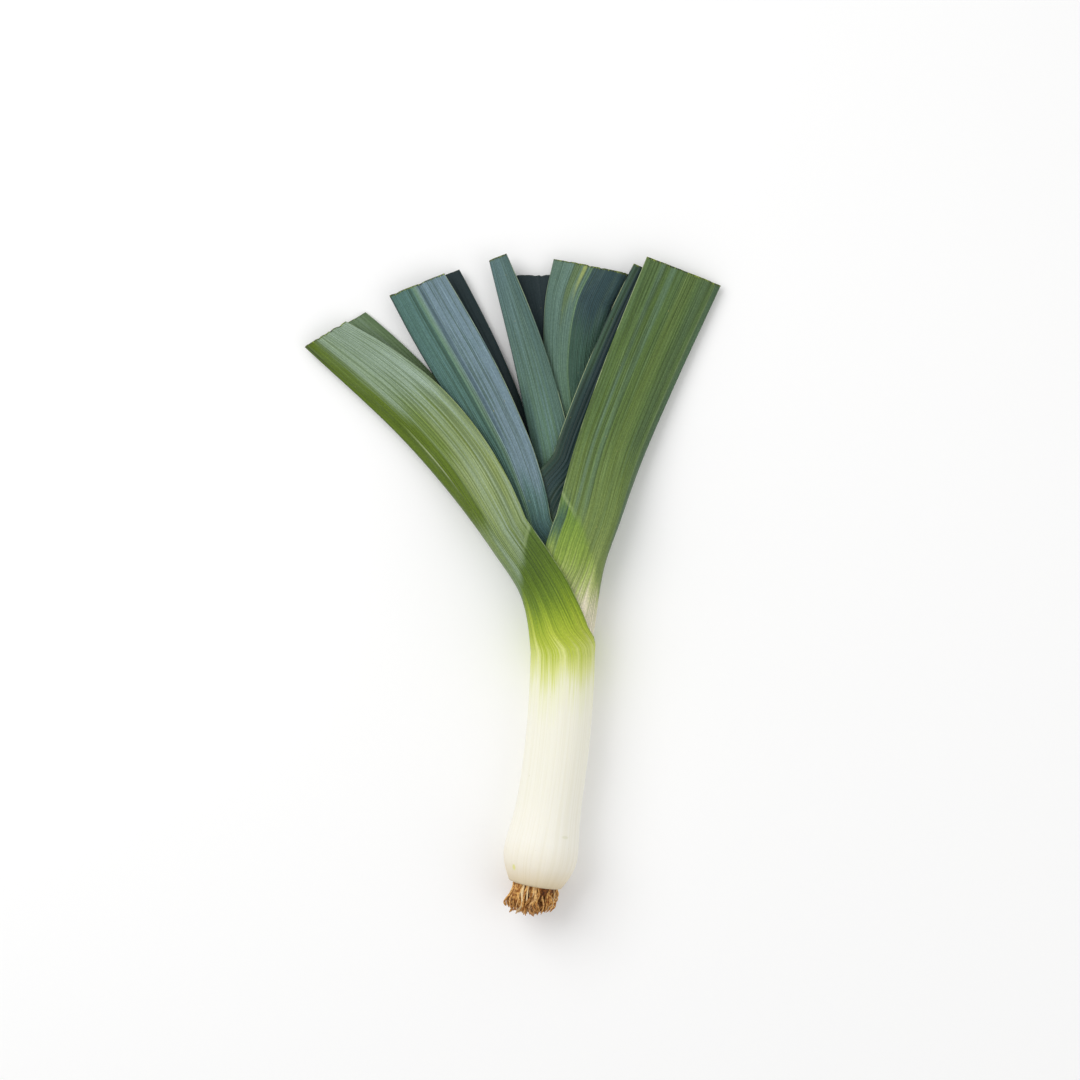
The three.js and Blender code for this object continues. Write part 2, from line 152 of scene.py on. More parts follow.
# How each leaf looks. sheath and blade are ramps. wax is the colour of the bloom and wax_amount its share.
# keel tints the fold, and lining is the tint and share of the inner skin: near black on leaves 3, 4, 5 and 7,
# painted shade in the gap between the halves, and on leaves 1, 2 and 6 a darker green that is partly its own
# colour and partly painted shade. threads is the strength of the pale veins. bands run along a leaf: (centre
# and half width in veins from the keel, soft edge, colour, strength, and the reach in mm from the root); some
# are painted shade or a painted highlight, as marked. marks are spots: (mm from the root, veins from the
# keel, length, width, colour, strength).
LOOKS = {
    "leaf_1_outer_left": dict(
        sheath=SHEATH, wax=(142, 161, 144), wax_amount=0.72, keel=(76, 104, 18), lining_and_shade=((84, 108, 78), 0.6),
        blade=[(160, (86, 116, 44)), (190, (112, 132, 66)), (240, (128, 144, 74)), (300, (106, 128, 68)),
               (380, (92, 116, 72))],
        marks=[(9, 10, 2.2, 1.0, (222, 220, 120), 0.75), (31, 28, 1.1, 1.8, (218, 216, 186), 0.5)],
        bands=[(2, 15, 3, (82, 104, 0), 0.97, (200, 460)), (21, 1.2, 2, (100, 124, 20), 0.7, (240, 460)),
               # The pale line at vein 11 from 225 to 290 mm is a painted highlight.
               (-2, 3, 2, (72, 98, 14), 0.6, (200, 460)), (11, 0.3, 0.5, (190, 200, 170), 0.4, (225, 290)),
               # The near-black line at vein 3.4 past 325 mm is painted shadow in a split along the fold.
               (3.4, 0.5, 0.5, (26, 32, 14), 0.85, (325, 460)),
               (30, 11, 6, (146, 166, 152), 0.6, (285, 460))],
    ),
    "leaf_2_outer_right": dict(
        sheath=SHEATH_PALE, wax=(84, 110, 74), wax_amount=0.6, keel=(66, 92, 62), lining_and_shade=((78, 106, 60), 0.4),
        blade=[(170, (138, 154, 84)), (205, (112, 132, 66)), (260, (86, 110, 50)), (330, (76, 101, 44)),
               (400, (72, 96, 48))],
        # The darker bluish band along the keel is partly its own tint and partly painted shade where the leaf
        # turns away from the light.
        bands=[(2, 3.5, 2, (70, 96, 74), 0.7, (190, 460)), (6.2, 0.5, 0.7, (112, 132, 84), 0.5, (180, 460)),
               (29, 0.4, 1.2, (94, 122, 108), 0.35, (200, 460)),
               (33, 0.3, 1.0, (98, 124, 114), 0.4, (200, 460)),
               (12, 2, 3, (70, 92, 62), 0.5, (240, 460)), (21, 1.5, 3, (98, 118, 52), 0.4, (220, 460)),
               (38.4, 2.4, 0.3, (48, 82, 76), 0.9, (176, 222))],
    ),
    "leaf_3_left": dict(
        sheath=SHEATH_PALE, wax=(92, 126, 128), wax_amount=0.6, keel=(54, 84, 70), lining_and_shade=((26, 42, 46), 0.9),
        blade=[(180, (66, 100, 84)), (215, (70, 104, 96)), (270, (70, 104, 94)), (400, (72, 106, 98))],
        # The dark teal band over the outer part of the front half up to 222 mm is painted shade at the foot
        # of the blade, and the near-black band over the whole rear half is painted shadow under the front
        # half.
        bands=[(33, 9, 3, (110, 131, 144), 0.85, (212, 460)), (30, 14, 3, (44, 72, 78), 0.8, (140, 222)),
               (22.5, 0.6, 1.6, (108, 138, 96), 0.5, (170, 460)),
               (19.5, 0.5, 0.8, (50, 80, 66), 0.8, (200, 460)),
               (25.5, 0.5, 0.8, (52, 76, 84), 0.7, (240, 460)),
               (-22, 22, 3, (20, 34, 38), 0.82, (150, 460))],
    ),
    # leaf_4 lies in the shade between leaf_2 and leaf_3: its dark blade, wax, keel and inner-skin colours are
    # partly painted shade, and the near-black band over the front half from 140 to 300 mm is painted shadow.
    "leaf_4_right": dict(
        sheath=SHEATH_PALE, wax=(40, 62, 68), wax_amount=0.5, keel=(40, 64, 52), lining_and_shade=((24, 38, 34), 0.8),
        threads=0.3,
        blade=[(180, (62, 90, 56)), (230, (38, 62, 46)), (400, (32, 54, 46))],
        bands=[(38.5, 0.7, 0.6, (60, 88, 64), 0.7, (180, 460)), (34, 2, 1.5, (30, 48, 62), 0.6, (200, 460)),
               (20, 18, 2, (30, 54, 54), 0.8, (140, 300))],
    ),
    "leaf_5_left": dict(
        sheath=SHEATH_PALE, wax=(96, 124, 132), wax_amount=0.55, keel=(70, 100, 92),
        lining_and_shade=((22, 34, 36), 0.9),
        blade=[(180, (70, 98, 54)), (230, (88, 122, 90)), (310, (86, 114, 100)), (400, (88, 114, 118))],
        # The near-black band over the rear half is painted shadow under the front half, and the dark band
        # along the keel from 150 to 300 mm is painted shade cast by leaf_3.
        bands=[(-20, 20, 3, (14, 26, 28), 0.9, (150, 460)), (36, 3, 3, (70, 98, 92), 0.6, (190, 460)),
               (4, 7, 5, (50, 78, 74), 0.7, (150, 300))],
    ),
    "leaf_6_ridged": dict(
        sheath=SHEATH_PALE, wax=(104, 132, 124), wax_amount=0.5, keel=(88, 116, 80),
        lining_and_shade=((60, 84, 70), 0.6),
        blade=[(180, (72, 100, 66)), (240, (88, 120, 86)), (330, (84, 112, 100)), (400, (84, 112, 92))],
        bands=[(5.5, 1.0, 1.2, (150, 162, 84), 0.75, (335, 460)),
               (11, 1.6, 2.5, (92, 112, 50), 0.6, (320, 460)),
               # Both dark bands over the rear half, which faces away from the light, are partly its own
               # darker blue-green and partly painted shade.
               (-22, 21.2, 0.6, (36, 62, 68), 0.95, (270, 480)),
               (-22, 21.2, 0.6, (58, 92, 68), 0.6, (190, 340))],
    ),
    # leaf_7 lies deep under the others: its blade past 250 mm, its wax, keel and inner skin are near black,
    # painted shade over a dark green leaf.
    "leaf_7_heart": dict(
        sheath=SHEATH_PALE, wax=(34, 56, 64), wax_amount=0.6, keel=(22, 38, 42), lining_and_shade=((24, 40, 44), 0.95),
        threads=0.3,
        blade=[(180, (70, 92, 60)), (250, (20, 34, 36)), (340, (22, 36, 38)), (400, (34, 56, 62))], bands=[],
    ),
}


def smooth(t):
    t = np.clip(t, 0, 1)
    return t * t * (3 - 2 * t)


def lerp(a, b, t):
    return a + (b - a) * t


def through(start, middle, end, t):
    """A smooth run through three values, at 0, 0.5 and 1."""
    return start * (1 - t) * (1 - 2 * t) + middle * 4 * t * (1 - t) + end * t * (2 * t - 1)


def unit(v):
    return v / np.linalg.norm(v)


def shaft_radius(distance):
    bulb = BULB_SWELL * math.exp(-(((distance - BULB_AT) / BULB_SPREAD) ** 2))
    taper = BASE_TAPER * max(0, 1 - distance / BASE_TAPER_LENGTH) ** 2
    return (SHAFT_RADIUS + bulb) * (1 - taper)


def bezier(points, t):
    a, b, c, d = (np.array(p, float) for p in points)
    t = t[:, None]
    return a * (1 - t) ** 3 + 3 * b * t * (1 - t) ** 2 + 3 * c * t * t * (1 - t) + d * t**3


class Path:
    """A polyline walked by distance."""

    def __init__(self, points):
        self.points = points
        steps = np.linalg.norm(np.diff(points, axis=0), axis=1)
        self.run = np.concatenate([[0], np.cumsum(steps)])
        self.length = self.run[-1]

    def at(self, distance):
        return np.array([np.interp(distance, self.run, self.points[:, i]) for i in range(3)])

    def along(self, distance):
        ahead = self.at(min(distance + 1, self.length)) - self.at(max(distance - 1, 0))
        ahead[2] = 0
        return unit(ahead)


SHAFT = Path(bezier(SHAFT_BEND, np.linspace(0, 1, PATH_STEPS)))


def shaft_centre(distance):
    point = SHAFT.at(distance)
    point[2] = shaft_radius(max(distance, BULB_AT)) * FACET_SAG
    return point, SHAFT.along(distance)


UP = np.array([0, 0, 1.0])


def opening(opens, along):
    """The directions from the keel to the mouth, and from the fold to the front half."""
    side = unit(np.cross(along, UP))
    return {"right": (side, UP), "left": (-side, UP), "down": (-UP, -side), "up": (UP, -side)}[opens]


def catmull_rom(points, start):
    """A centripetal Catmull-Rom curve through points, sampled from that share of the way."""
    points = [np.array(p, float) for p in points]
    ends = [2 * points[0] - points[1], *points, 2 * points[-1] - points[-2]]
    out = []
    for t in np.linspace(start, 1, PATH_STEPS + 1):
        place = (len(points) - 1) * t
        i = min(int(place), len(points) - 2)
        w = place - i
        p0, p1, p2, p3 = ends[i : i + 4]
        d0, d1, d2 = (math.sqrt(np.linalg.norm(b - a)) for a, b in ((p0, p1), (p1, p2), (p2, p3)))
        t1 = ((p1 - p0) / d0 - (p2 - p0) / (d0 + d1) + (p2 - p1) / d1) * d1
        t2 = ((p2 - p1) / d1 - (p3 - p1) / (d1 + d2) + (p3 - p2) / d2) * d1
        out.append(p1 + t1 * w + (-3 * p1 + 3 * p2 - 2 * t1 - t2) * w**2 + (2 * p1 - 2 * p2 + t1 + t2) * w**3)
    return np.array(out)


def nest_share(index):
    return 1 - NEST_STEP * index


def keel_path(leaf, index):
    def side(distance):
        point, along = shaft_centre(distance)
        return point - opening(leaf["opens"], along)[0] * shaft_radius(distance) * nest_share(index)

    points = [side(COLLAR - KEEL_LEAD), side(COLLAR), *leaf["keel"]]
    return Path(catmull_rom(points, 1 / (len(points) - 1)))


KEELS = [keel_path(leaf, i) for i, leaf in enumerate(LEAVES)]


def neck_reach(index, distance, keel, along, open_way):
    """How far the leaf reaches round its neighbour's keel, so that the leaves stay nested where they part."""
    around = KEELS[1 if index == 0 else index - 1].points
    facing = around[np.argmin(np.abs((around - keel) @ along))]
    step = lerp(NEST_STEP * shaft_radius(COLLAR), NECK_STEP, smooth(distance / NECK_LENGTH))
    slack = lerp(1, OUTER_SLACK, smooth(distance / SLACK_LENGTH))
    return (facing - keel) @ open_way + step * (slack if index == 0 else -1)


def sheath_section(leaf, index, distance):
    centre, along = shaft_centre(distance)
    open_way, front = opening(leaf["opens"], along)
    radius = shaft_radius(distance) * nest_share(index)
    return dict(
        keel=centre - open_way * radius, along=along, open=open_way, front=front, reach=2 * radius,
        halves=[(2 * radius, radius)] * 2, closed=True, sideways=True,
        wall=SHEATH_WALL * shaft_radius(distance), sharp=0, slant=0, fall=0, full=1,
        at=distance, tip=FAR_FROM_TIP, past=distance - COLLAR, mouth=leaf["mouth"],
    )


def blade_section(leaf, index, distance):
    path = KEELS[index]
    keel, along = path.at(distance), path.along(distance)
    open_way, front = opening(leaf["opens"], along)
    radius = shaft_radius(COLLAR) * nest_share(index)
    flatten = smooth(distance / NECK_LENGTH)
    layer = lerp(radius * FACET_SAG, NECK_LAYER * (LAYERS - 1 - index), flatten)
    sideways = leaf["opens"] in ("left", "right")
    reach = neck_reach(index, distance, keel, along, open_way) if sideways else 2 * layer
    closed = distance <= leaf["mouth"]
    opened = float(np.clip((distance - leaf["mouth"]) / leaf["rim"], 0, 1))
    opened = lerp(smooth(opened), 1 - (1 - opened) ** 2, smooth(opened / QUICK_OPENING) if index == 0 else 0)
    run = float(np.clip((distance - NECK_LENGTH) / (path.length - NECK_LENGTH), 0, 1))
    halves = []
    for side, (width, lift) in enumerate(leaf["halves"]):
        neck = layer if sideways else lerp(radius, leaf["neck"][side], flatten)
        width = reach if closed else lerp(reach, through(*width, run), opened)
        halves.append((width, through(neck, *lift, run)))
    return dict(
        keel=keel, along=along, open=open_way, front=front, reach=reach, halves=halves, closed=closed,
        sideways=sideways,
        wall=lerp(SHEATH_WALL * shaft_radius(COLLAR), lerp(*BLADE_WALL, run), flatten),
        sharp=SHARP_KEEL * smooth(run * SHARPENING), slant=leaf["slant"] * run**2, fall=FAN_FALL * flatten,
        full=1 - NECK_FULLNESS * (len(LEAVES) - 1 - index) * flatten * (1 - smooth(run * FILLING)),
        at=COLLAR + distance, tip=path.length - distance, past=distance, mouth=leaf["mouth"],
    )


def half_shape(section, side, share):
    """Distances across and away from the keel, the outward normal and the width, for one half."""
    width, height = section["halves"][side]
    semi = float(np.clip(section["reach"] / 2, width / 2, width))
    turn = share * math.acos(max(1 - width / semi, -1))
    sharp = section["sharp"]
    across = lerp(semi * (1 - np.cos(turn)), share * width, sharp)
    away = lerp(height * np.maximum(np.sin(turn), 0) ** section["full"], height * across / width, sharp)
    normal = np.stack([-height * np.cos(turn), semi * np.sin(turn)])
    normal /= np.linalg.norm(normal, axis=0)
    return across, away, normal, width


def ragged(seed, across):
    """How far back the torn cut is at each place across the leaf."""
    rng = np.random.default_rng(seed)
    wave = 0
    for _ in range(TIP_WAVES):
        wave = wave + rng.uniform(0.2, 0.6) * np.sin(across / rng.uniform(0.5, 5.0) + rng.uniform(0, 6))
    places = np.linspace(-WIDEST_HALF, WIDEST_HALF, TIP_NICKS)
    nick = np.interp(across, places, rng.uniform(0, 1, TIP_NICKS) ** 9)
    return TIP_RAGGED * (0.5 + TIP_WAVE * wave) + TIP_NICK * nick


def skins(section, index):
    """One section's outer and inner points, from the rear edge round the keel to the front edge.

    With them come each point's distances from the keel and from the edge.
    """
    share = np.linspace(0, 1, HALF + 1)
    halves = []
    for side, sign in ((1, -1), (0, 1)):
        across, away, normal, width = half_shape(section, side, share)
        steps = np.hypot(np.diff(across), np.diff(away))
        arc = np.concatenate([[0], np.cumsum(steps)])
        near_keel = np.exp(-((share * width / KEEL_WIDTH) ** 2))
        wall = section["wall"] * (1 + (KEEL_WALL - 1) * near_keel * section["sharp"] / SHARP_KEEL)
        free = smooth((section["past"] - section["mouth"]) / FREE_LENGTH)
        ripple = RIPPLE * free * share * np.sin(section["at"] / RIPPLE_LENGTH + RIPPLE_STEP * index + sign)
        rib = KEEL_RIB * free * np.exp(-((arc / RIB_WIDTH) ** 2))
        torn = ragged(10 * index + side, sign * arc) * smooth((TORN_ZONE - section["tip"]) / TORN_ZONE)
        clear = 0 if section["closed"] else MIN_FOLD * share
        inner = (across - wall * normal[0], np.maximum(away - wall * normal[1], clear) + ripple)
        outer = (across - rib, away + ripple)
        lean = section["slant"] * (across if section["sideways"] else sign * away) - torn
        halves.append((sign, outer, inner, lean, arc))

    def place(sign, shape, lean):
        across, away = shape
        points = (
            section["keel"]
            + across[:, None] * section["open"]
            + sign * away[:, None] * section["front"]
            + lean[:, None] * section["along"]
        )
        points[:, 2] -= section["fall"] * (points[:, 1] - section["keel"][1])
        return points

    def join(rear, front):
        return np.concatenate([rear[::-1], front[1:]])

    outer = join(*[place(sign, outer, lean) for sign, outer, _, lean, _ in halves])
    inner = join(*[place(sign, inner, lean) for sign, _, inner, lean, _ in halves])
    across = join(*[sign * arc for sign, _, _, _, arc in halves])
    edge = join(*[arc[-1] - arc for _, _, _, _, arc in halves])
    return outer, inner, across, edge


def grid_faces(rows, columns, offset, flip):
    """Quads over a grid of points that starts at offset."""
    i = np.arange((rows - 1) * (columns - 1))
    a = (i // (columns - 1)) * columns + i % (columns - 1) + offset
    quads = np.stack([a, a + 1, a + columns + 1, a + columns], axis=1)
    return quads[:, ::-1] if flip else quads


def make_mesh(name, points, faces, attributes, uv, weld=None):
    """A smooth mesh object from points in millimetres, with named attributes and a bake map.

    Attributes are given for each point and kept for each face corner, because welded points hold two values.
    """
    corners = np.concatenate(faces)
    joined = corners if weld is None else weld[corners]
    used, order = np.unique(joined, return_inverse=True)
    ends = np.cumsum([len(face) for face in faces])[:-1]
    mesh = bpy.data.meshes.new(name)
    mesh.from_pydata((points[used] * MM).tolist(), [], [face.tolist() for face in np.split(order, ends)])
    for key, values in attributes.items():
        layer = mesh.attributes.new(key, "FLOAT", "CORNER")
        layer.data.foreach_set("value", np.asarray(values, np.float32)[corners])
    layer = mesh.uv_layers.new(name="OFBake")
    layer.data.foreach_set("uv", uv.astype(np.float32).ravel())
    mesh.polygons.foreach_set("use_smooth", [True] * len(mesh.polygons))
    mesh.update()
    piece = bpy.data.objects.new(name, mesh)
    bpy.context.scene.collection.objects.link(piece)
    return piece


def leaf_sections(leaf, index):
    """Sections from the root to the cut, closer together at both ends."""
    length = KEELS[index].length
    foot = np.linspace(0, FOOT, FOOT_ROWS)[:-1]
    shaft = np.linspace(FOOT, COLLAR, SHAFT_ROWS)
    blade = np.linspace(0, length - CUT_ZONE, BLADE_ROWS)[1:]
    cut = np.linspace(length - CUT_ZONE, length, CUT_ROWS)[1:]
    closed = [sheath_section(leaf, index, d) for d in [*foot, *shaft]]
    return closed + [blade_section(leaf, index, d) for d in [*blade, *cut]]


def edge_strips(closed, columns, flip):
    """Faces between the outer and inner skins: both margins where the leaf is open, the foot and the cut."""
    rows = len(closed)
    count, last = rows * columns, columns - 1
    opened = np.flatnonzero(~closed[1:])
    low, high = opened * columns, (opened + 1) * columns
    foot = np.arange(last)
    cut = foot + (rows - 1) * columns
    strips = [
        np.stack([low, high, high + count, low + count], axis=1),
        np.stack([low + last, low + last + count, high + last + count, high + last], axis=1),
        np.stack([foot, foot + count, foot + count + 1, foot + 1], axis=1),
        np.stack([cut, cut + 1, cut + 1 + count, cut + count], axis=1),
    ]
    return [s[:, ::-1] if flip else s for s in strips]


# Shares of the bake map: where the outer and inner skins start and how high they are, then the four strips.
OUTER_SPOT, INNER_SPOT = (0.01, 0.62), (0.65, 0.3)
STRIP_SPOT, STRIP_STEP, STRIP_HEIGHT = 0.958, 0.01, 0.007


def bake_map(sections, columns, skin_faces, strips, flip):
    """A place in the bake map for each corner of the skins and the strips."""
    run = np.array([s["at"] for s in sections])
    u = np.repeat(run / run[-1], columns) * 0.98 + 0.01
    v = np.tile(np.linspace(0, 1, columns), len(sections))
    v = np.concatenate([start + height * v for start, height in (OUTER_SPOT, INNER_SPOT)])
    spot = np.stack([np.concatenate([u, u]), v], axis=1)
    places = [spot[faces.ravel()] for faces in skin_faces]
    for number, strip in enumerate(strips):
        along = np.linspace(0.01, 0.99, len(strip) + 1)
        steps = ((0, 0), (1, 0), (1, 1), (0, 1)) if number in (0, 3) else ((0, 0), (0, 1), (1, 1), (1, 0))
        corners = np.empty((len(strip), 4, 2))
        for corner, (step, side) in enumerate(steps[::-1] if flip else steps):
            corners[:, corner, 0] = along[1:] if step else along[:-1]
            corners[:, corner, 1] = STRIP_SPOT + STRIP_STEP * number + STRIP_HEIGHT * side
        places.append(corners.reshape(-1, 2))
    return np.vstack(places)


def leaf_arrays(leaf, index):
    """The points of both skins, their faces, shader attributes, bake map and which points are joined."""
    sections = leaf_sections(leaf, index)
    outer, inner, across, edge = zip(*[skins(s, index) for s in sections])
    rows, columns = len(sections), 2 * HALF + 1
    count = rows * columns
    closed = np.array([s["closed"] for s in sections])
    at, cut, past = (np.repeat([s[key] for s in sections], columns) for key in ("at", "tip", "past"))
    vein = np.tile(np.linspace(-VEINS, VEINS, columns), rows)
    ligule = past - lerp(leaf["ligule"][0], leaf["ligule"][1], np.abs(vein) / VEINS)
    edge = np.concatenate(edge) + np.repeat(closed * CLEAR_OF_EDGE, columns)
    values = dict(along=at, across=np.concatenate(across), edge=edge, cut=cut, blade=ligule, vein=vein)
    attributes = {key: np.tile(value, 2) for key, value in values.items()}
    attributes["inside"] = np.repeat([0.0, 1.0], count)

    flip = leaf["opens"] in ("left", "down")
    skin_faces = [grid_faces(rows, columns, 0, flip), grid_faces(rows, columns, count, not flip)]
    strips = edge_strips(closed, columns, flip)
    uv = bake_map(sections, columns, skin_faces, strips, flip)
    # A closed sheath's last column lies on its first.
    weld = np.arange(2 * count)
    seam = np.flatnonzero(closed) * columns
    for skin in (0, count):
        weld[skin + seam + columns - 1] = skin + seam
    return np.vstack([*outer, *inner]), np.vstack([*skin_faces, *strips]), attributes, uv, weld


BLACK_LEVEL = 0.04045


def linear(colour):
    """A display colour, 0 to 255, as a linear one with alpha."""
    scaled = [c / 255 for c in colour]
    return (*[c / 12.92 if c <= BLACK_LEVEL else ((c + 0.055) / 1.055) ** 2.4 for c in scaled], 1)


GLOW_COLOUR, GLOW_DEPTH = (1.0, 0.9, 0.5), 0.002


class Shader:
    """Builds one material's nodes. Sockets and plain numbers can both be given."""

    def __init__(self, name):
        self.material = bpy.data.materials.new(name)
        self.material.use_nodes = True
        self.tree = self.material.node_tree
        self.surface = self.tree.nodes["Principled BSDF"]

    def make(self, kind, output=0, values=(), **settings):
        node = self.tree.nodes.new(kind)
        for key, value in settings.items():
            setattr(node, key, value)
        for key, value in dict(values).items():
            self.give(node.inputs[key], value)
        return node.outputs[output]

    def give(self, socket, value):
        if isinstance(value, bpy.types.NodeSocket):
            self.tree.links.new(value, socket)
        else:
            socket.default_value = value

    def read(self, name):
        return self.make("ShaderNodeAttribute", "Fac", attribute_name=name)

    def sum(self, operation, a, b=0.0, c=0.0, clamp=False):
        return self.make("ShaderNodeMath", 0, {0: a, 1: b, 2: c}, operation=operation, use_clamp=clamp)

    def span(self, value, low, high, start=0.0, end=1.0):
        """Eases from start to end while value goes from low to high."""
        names = {"Value": value, "From Min": low, "From Max": high, "To Min": start, "To Max": end}
        return self.make("ShaderNodeMapRange", 0, names, interpolation_type="SMOOTHSTEP")

    def vector(self, x, y, z):
        return self.make("ShaderNodeCombineXYZ", 0, {0: x, 1: y, 2: z})

    def noise(self, where, scale, detail=3.0, rough=0.55):
        values = {"Vector": where, "Scale": scale, "Detail": detail, "Roughness": rough}
        return self.make("ShaderNodeTexNoise", 0, values)

    def ramp(self, value, stops):
        socket = self.make("ShaderNodeValToRGB", 0, {0: value})
        elements = socket.node.color_ramp.elements
        while len(elements) < len(stops):
            elements.new(0.5)
        for element, (place, colour) in zip(elements, stops):
            element.position = place
            element.color = linear(colour)
        return socket

    def mix(self, factor, a, b, blend="MIX"):
        node = self.tree.nodes.new("ShaderNodeMix")
        node.data_type, node.blend_type = "RGBA", blend
        self.give(node.inputs[0], factor)
        self.give(node.inputs[6], a)
        self.give(node.inputs[7], b)
        return node.outputs[2]

    def finish(self, colour, roughness, height, bump, distance, specular, subsurface=0.0):
        self.give(self.surface.inputs["Base Color"], colour)
        self.give(self.surface.inputs["Roughness"], roughness)
        self.surface.inputs["Specular IOR Level"].default_value = specular
        self.surface.inputs["Subsurface Weight"].default_value = subsurface
        self.surface.inputs["Subsurface Radius"].default_value = GLOW_COLOUR
        self.surface.inputs["Subsurface Scale"].default_value = GLOW_DEPTH
        values = {"Height": height, "Strength": bump, "Distance": distance}
        self.give(self.surface.inputs["Normal"], self.make("ShaderNodeBump", 0, values))
        return self.material


RAMP_LENGTH = 420
RIBS = 56
LEAF_SPECULAR, LEAF_SUBSURFACE = 0.28, 0.04
RELIEF = 0.0006
# Where a leaf turns from white to green, in mm from the root.
GREENING = (118, 160)
# Noise drawn out along the veins: (width in veins, length in mm, seed step, detail).
GRAINS = dict(
    hair=(0.35, 30, 15.7, 2.0), fine=(0.65, 90, 0.1, 3.0), middle=(1.7, 130, 3.1, 3.0),
    broad=(7, 170, 7.3, 3.0), patch=(11, 30, 11.9, 4.0),
)
# How far in mm each grain moves the fade from white to green.
FADE_SHIFTS = dict(broad=30, middle=24, hair=34)
VEIN_SHADE_WHITE, VEIN_SHADE_GREEN = (0.965, 0.96, 0.93, 1), (0.56, 0.6, 0.5, 1)
THREAD_GAIN, THREAD_LIFT, THREADS = (1.5, 1.45, 1.5, 1), (0.02, 0.022, 0.02, 1), 0.7
CREASE_TINT, HEM_TINT = (164, 182, 128), (178, 194, 150)
FIBRE_DARK, FIBRE_BRIGHT = (34, 46, 20), (150, 166, 60)
MOTTLE_GAIN = (1.22, 1.2, 1.18, 1)
FLECK_TINT = (170, 160, 96)
BAND_FADE = 25


